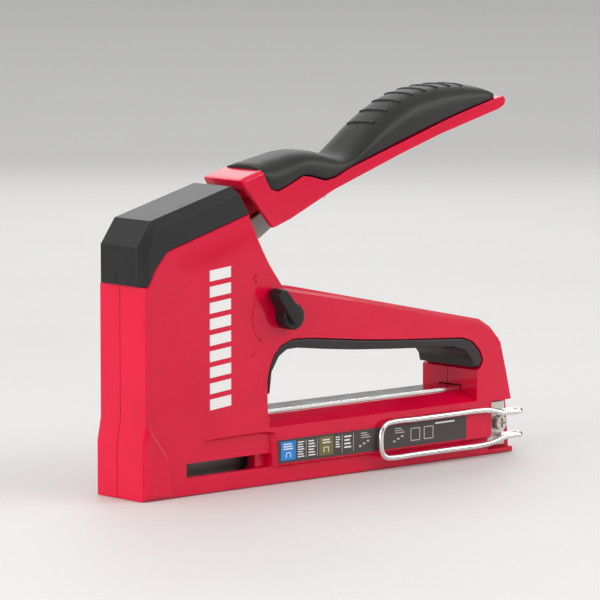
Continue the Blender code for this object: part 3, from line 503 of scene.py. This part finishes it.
# Staple sizes as colour fields, and plain lines and outlines for the rest
def makeLabelPrint(values=labelPrint):
    bm = bmesh.new()
    y = labelLow.y
    thick = values["proud"] * mm
    base = labelLow.z
    x0 = labelLow.x

    def field(a, b, c, d, ink, proud=1.0):
        slabInto(bm, [(x0 + a * mm, base + c * mm), (x0 + b * mm, base + c * mm),
                      (x0 + b * mm, base + d * mm), (x0 + a * mm, base + d * mm)], y, thick * proud, ink)

    def lines(a, b, rows, low=1.3, high=8.2, ink=0):
        pitch = (high - low) / rows
        for i in range(rows):
            middle = low + pitch * (i + 0.5)
            field(a, b - (i % 3) * 0.35, middle - pitch * 0.22, middle + pitch * 0.22, ink)

    def staple(a, b, c, d, ink=0):
        field(a, b, d - 0.35, d, ink)
        field(a, a + 0.35, c, d, ink)
        field(b - 0.35, b, c, d, ink)

    field(1.6, 9.4, 1.0, 8.6, 1, 0.5)
    lines(2.9, 8.0, 3, 5.0, 8.0)
    staple(4.3, 6.9, 1.9, 4.1)
    lines(10.6, 14.0, 7)
    field(15.0, 15.15, 1.1, 8.4, 3)
    lines(16.4, 20.0, 6)
    field(21.0, 21.15, 1.1, 8.4, 3)
    field(22.2, 29.8, 1.0, 8.6, 2, 0.5)
    lines(24.0, 28.2, 2, 5.6, 7.8)
    staple(24.6, 27.4, 2.2, 4.4)
    lines(31.2, 33.6, 5, 3.2, 8.2)
    field(34.6, 34.75, 1.1, 8.4, 3)
    lines(35.9, 39.6, 4, 2.4, 8.2)
    field(40.8, 40.95, 1.1, 8.4, 3)
    for shift in (44.0, 63.0):     # short strokes that stand for small drawings
        for k in range(3):
            field(shift + 2.2 * k, shift + 2.2 * k + 1.2, 2.4 + 0.9 * k, 3.1 + 0.9 * k, 3)
            field(shift + 1.0, shift + 6.4 - k, 6.0 + 0.9 * k, 6.3 + 0.9 * k, 3)
    for shift in (72.5, 80.0):     # plain squares
        square = ((0.4, 2.2), (5.4, 2.2), (5.4, 7.2), (0.4, 7.2))
        corners = [(x0 + (shift + a) * mm, base + b * mm) for a, b in square]
        for a, b in zip(corners, corners[1:] + corners[:1]):
            barInto(bm, a, b, 0.32 * mm, y, thick, 3)
    lines(86.6, 97.6, 1, 7.4, 8.8)
    bmesh.ops.recalc_face_normals(bm, faces=bm.faces)
    return meshObject("label_print", bm, [whiteInk, blueInk, oliveInk, greyInk], "casing")


towerMark = {"left": 31.0, "right": 42.0, "bottom": 33.5, "bars": 9, "thick": 4.3, "pitch": 6.4,
             "slant": 1.1}


# A plain column of white bars
def makeTowerMark(values=towerMark):
    bm = bmesh.new()
    left, right, slant = values["left"] * mm, values["right"] * mm, values["slant"] * mm
    for i in range(values["bars"]):
        low = (values["bottom"] + values["pitch"] * i) * mm
        high = low + values["thick"] * mm
        slabInto(bm, [(left, low), (right, low + slant), (right, high + slant), (left, high)],
                 panelFace - 0.02 * mm, 0.08 * mm)
    bmesh.ops.recalc_face_normals(bm, faces=bm.faces)
    return meshObject("tower_mark", bm, whiteInk, "casing")


footMark = {"bar": ((4.7, 7.4), (8.3, 7.4)), "legs": ((4.9, 6.5), (6.5, 3.9), (8.1, 6.5)), "width": 0.5,
            "face": -14.75, "proud": 0.3}


# A small raised bar over a V, where the staple leaves the tool
def makeFootMark(values=footMark):
    bm = bmesh.new()
    a, b, c = values["legs"]
    for start, end in (values["bar"], (a, b), (b, c)):
        barInto(bm, [v * mm for v in start], [v * mm for v in end], values["width"] * mm,
                values["face"] * mm, values["proud"] * mm)
    bmesh.ops.recalc_face_normals(bm, faces=bm.faces)
    return meshObject("foot_mark", bm, finishes["cast_red"], "casing")


powerMarks = {
    "plus": (((53.9, 84.0), (57.5, 84.0)), ((55.7, 82.1), (55.7, 83.45)), ((55.7, 84.55), (55.7, 85.9))),
    "minus": ((53.2, 53.6), (57.4, 53.6)), "stroke": 1.1, "proud": 0.5,
    "centre": (70.6, 68.2), "radius": 15.6, "from": 143.0, "sweep": 76.0, "thin": 0.25, "swell": 1.5,
}


# Raised plus, minus and a tapering arc around the power knob, in the casing's enamel
def makePowerMarks(values=powerMarks):
    bm = bmesh.new()
    y = panelFace + 0.1 * mm
    thick = values["proud"] * mm
    for a, b in (*values["plus"], values["minus"]):
        barInto(bm, [v * mm for v in a], [v * mm for v in b], values["stroke"] * mm, y, thick)
    midX, midZ = values["centre"]
    inner = values["radius"]
    steps = 24
    for i in range(steps):
        ends = []
        for k in (i, i + 1):
            t = k / steps
            angle = math.radians(values["from"] + values["sweep"] * t)
            swell = values["thin"] + values["swell"] * math.sin(math.pi * t) ** 0.8
            ends.append((math.cos(angle), math.sin(angle), swell))
        outline = [((midX + inner * c) * mm, (midZ + inner * s) * mm) for c, s, w in ends]
        outline += [((midX + (inner + w) * c) * mm, (midZ + (inner + w) * s) * mm) for c, s, w in ends[::-1]]
        slabInto(bm, outline, y, thick * 0.7)
    bmesh.ops.remove_doubles(bm, verts=bm.verts, dist=weld / 2)
    bmesh.ops.recalc_face_normals(bm, faces=bm.faces)
    return meshObject("power_marks", bm, finishes["cast_red"], "casing")


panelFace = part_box("left_shell")[0].y
makeLabelPrint()
makeTowerMark()
makeFootMark()
makePowerMarks()
print("marks made")


def makeStage():
    bm = bmesh.new()
    bmesh.ops.create_grid(bm, x_segments=1, y_segments=1, size=9.0)
    mesh = bpy.data.meshes.new("floor")
    bm.to_mesh(mesh)
    bm.free()
    material, g, shader = newMaterial("paleFloor", Roughness=0.6)
    feed(material, shader, Base_Color=g.mix(g.noise(4.0), colour(206, 205, 204), colour(212, 211, 210)))
    mesh.materials.append(material)
    floor = bpy.data.objects.new("floor", mesh)
    bpy.context.scene.collection.objects.link(floor)
    floor.location.z = -0.0002
    world = bpy.data.worlds.new("studio")
    world.use_nodes = True
    world.node_tree.nodes["Background"].inputs[0].default_value = (0.9, 0.9, 0.9, 1.0)
    world.node_tree.nodes["Background"].inputs[1].default_value = 0.24
    bpy.context.scene.world = world
    bpy.context.scene.view_settings.view_transform = "Standard"


studioLights = {
    "keyFront": {"place": (-1.05, -0.1, 0.3), "size": (0.8, 0.9), "power": 12.0},
    "sideBox": {"place": (0.65, -0.98, 0.62), "size": (1.1, 0.16), "power": 6.0},
    "ceiling": {"place": (0.1, 0.4, 3.0), "size": (9.0, 9.0), "power": 210.0},
    "backPanel": {"place": (0.8, 1.0, 0.62), "size": (1.1, 0.6), "power": 3.0},
    "rearStrip": {"place": (0.95, -0.5, 0.3), "size": (0.2, 0.7), "power": 2.0},
}


def makeLights(values=studioLights):
    aim = Vector((0.09, 0.0, 0.07))
    for name, light in values.items():
        data = bpy.data.lights.new(name, "AREA")
        data.shape = "RECTANGLE"
        data.size, data.size_y = light["size"]
        data.energy = light["power"]
        lamp = bpy.data.objects.new(name, data)
        lamp.location = light["place"]
        lamp.rotation_euler = (aim - lamp.location).to_track_quat("-Z", "Y").to_euler()
        bpy.context.scene.collection.objects.link(lamp)


def makeCamera(values=view):
    turn, lift = math.radians(values["azimuth"]), math.radians(values["elevation"])
    away = Vector((math.sin(turn) * math.cos(lift), -math.cos(turn) * math.cos(lift), math.sin(lift)))
    data = bpy.data.cameras.new("camera")
    data.lens = values["lens"]
    data.sensor_width = 36.0
    data.clip_end = 20.0
    camera = bpy.data.objects.new("camera", data)
    camera.location = Vector(values["target"]) + away * values["distance"]
    camera.rotation_euler = (-away).to_track_quat("-Z", "Y").to_euler()
    bpy.context.scene.collection.objects.link(camera)
    bpy.context.scene.camera = camera


makeStage()
makeLights()
makeCamera()
print("stage set")
